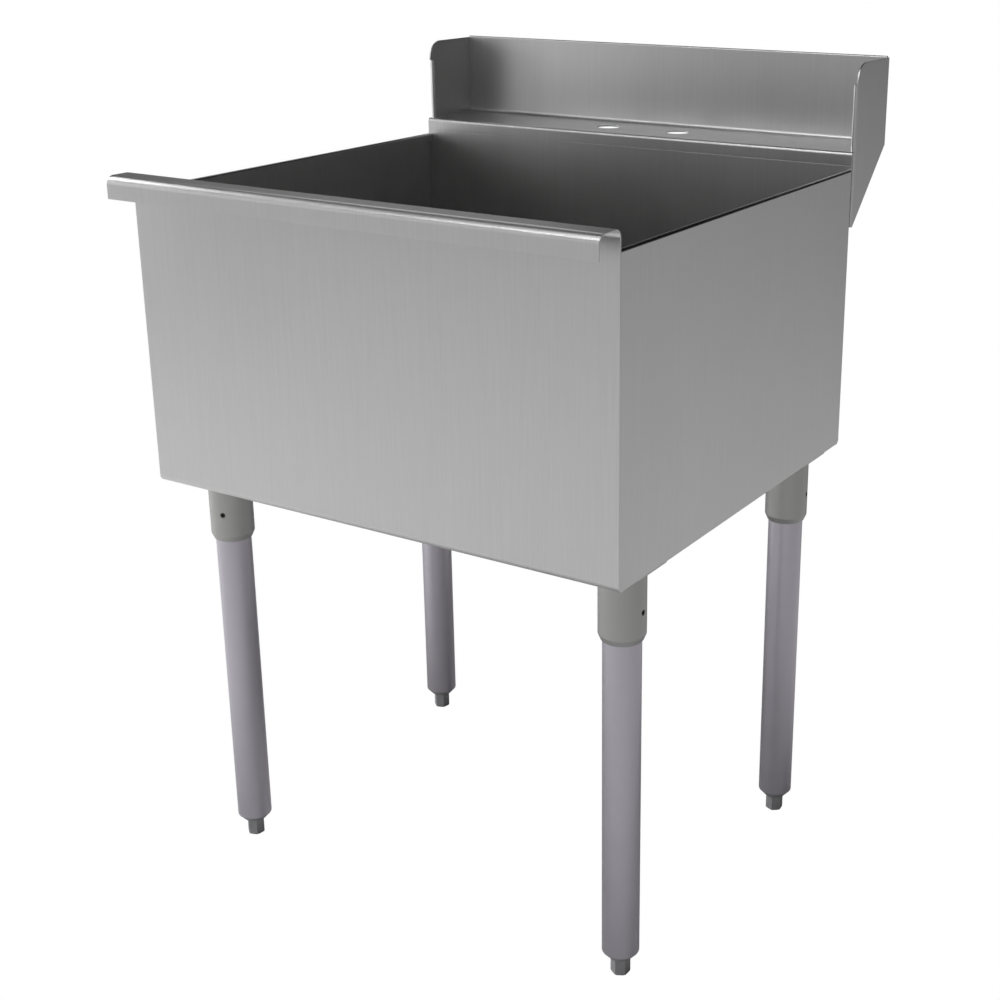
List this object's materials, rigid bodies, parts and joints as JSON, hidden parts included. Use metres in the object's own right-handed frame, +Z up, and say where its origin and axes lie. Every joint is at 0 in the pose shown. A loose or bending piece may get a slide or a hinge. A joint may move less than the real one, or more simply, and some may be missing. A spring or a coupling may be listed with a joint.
{
  "type": "utility sink",
  "caption": "Deep sheet-steel utility sink on four tubular legs, with a back splash, a ledge with faucet holes, screw feet and a lift-out strainer.",
  "frame": {"origin": "on the floor under the middle of the sink's overall box", "axes": "+Z up, front rim towards -Y, splash towards +Y, +X to the right seen from the front"},
  "size_m": [0.612, 0.6644, 0.9446],
  "materials": {
    "tub_steel": "fine brushed stainless steel",
    "socket_zinc": "matt zinc grey",
    "leg_galvanised": "galvanised, satin",
    "plug_plastic": "moulded, grey",
    "foot_plastic": "moulded, dark grey",
    "screw_steel": "zinc plated",
    "drain_steel": "polished stainless steel",
    "post_chrome": "polished",
    "gasket_rubber": "matt black rubber",
    "friction_fibre": "pressed fibre",
    "locknut_zinc": "die cast",
    "washer_plastic": "moulded, white",
    "coupling_chrome": "plated"
  },
  "bodies": {
    "sink": {"tub_wrap": "tub_steel", "side_panel_left": "tub_steel", "side_panel_right": "tub_steel", "splash_sheet": "tub_steel", "splash_end_left": "tub_steel", "splash_end_right": "tub_steel", "set_screws": "screw_steel", "drain_body": "drain_steel", "drain_gasket": "gasket_rubber", "friction_ring": "friction_fibre", "drain_locknut": "locknut_zinc", "slip_washer": "washer_plastic", "coupling_nut": "coupling_chrome", "socket_plate_front_left": "tub_steel", "leg_socket_front_left": "socket_zinc", "leg_tube_front_left": "leg_galvanised", "leg_plug_front_left": "plug_plastic", "socket_plate_front_right": "tub_steel", "leg_socket_front_right": "socket_zinc", "leg_tube_front_right": "leg_galvanised", "leg_plug_front_right": "plug_plastic", "socket_plate_rear_left": "tub_steel", "leg_socket_rear_left": "socket_zinc", "leg_tube_rear_left": "leg_galvanised", "leg_plug_rear_left": "plug_plastic", "socket_plate_rear_right": "tub_steel", "leg_socket_rear_right": "socket_zinc", "leg_tube_rear_right": "leg_galvanised", "leg_plug_rear_right": "plug_plastic"},
    "foot_screw_front_left": {"foot_front_left": "foot_plastic", "foot_stud_front_left": "screw_steel"},
    "foot_screw_front_right": {"foot_front_right": "foot_plastic", "foot_stud_front_right": "screw_steel"},
    "foot_screw_rear_left": {"foot_rear_left": "foot_plastic", "foot_stud_rear_left": "screw_steel"},
    "foot_screw_rear_right": {"foot_rear_right": "foot_plastic", "foot_stud_rear_right": "screw_steel"},
    "strainer": {"strainer_basket": "drain_steel", "strainer_seal": "gasket_rubber", "strainer_post": "post_chrome"}
  },
  "joints": [
    {"name": "foot_front_left_height", "type": "slide", "parent": "sink", "child": "foot_screw_front_left", "axis": [0, 0, -1], "range_m": [0, 0.0254]},
    {"name": "foot_front_right_height", "type": "slide", "parent": "sink", "child": "foot_screw_front_right", "axis": [0, 0, -1], "range_m": [0, 0.0254]},
    {"name": "foot_rear_left_height", "type": "slide", "parent": "sink", "child": "foot_screw_rear_left", "axis": [0, 0, -1], "range_m": [0, 0.0254]},
    {"name": "foot_rear_right_height", "type": "slide", "parent": "sink", "child": "foot_screw_rear_right", "axis": [0, 0, -1], "range_m": [0, 0.0254]},
    {"name": "strainer_lift", "type": "slide", "parent": "sink", "child": "strainer", "axis": [0, 0, 1], "range_m": [0, 0.07]}
  ]
}
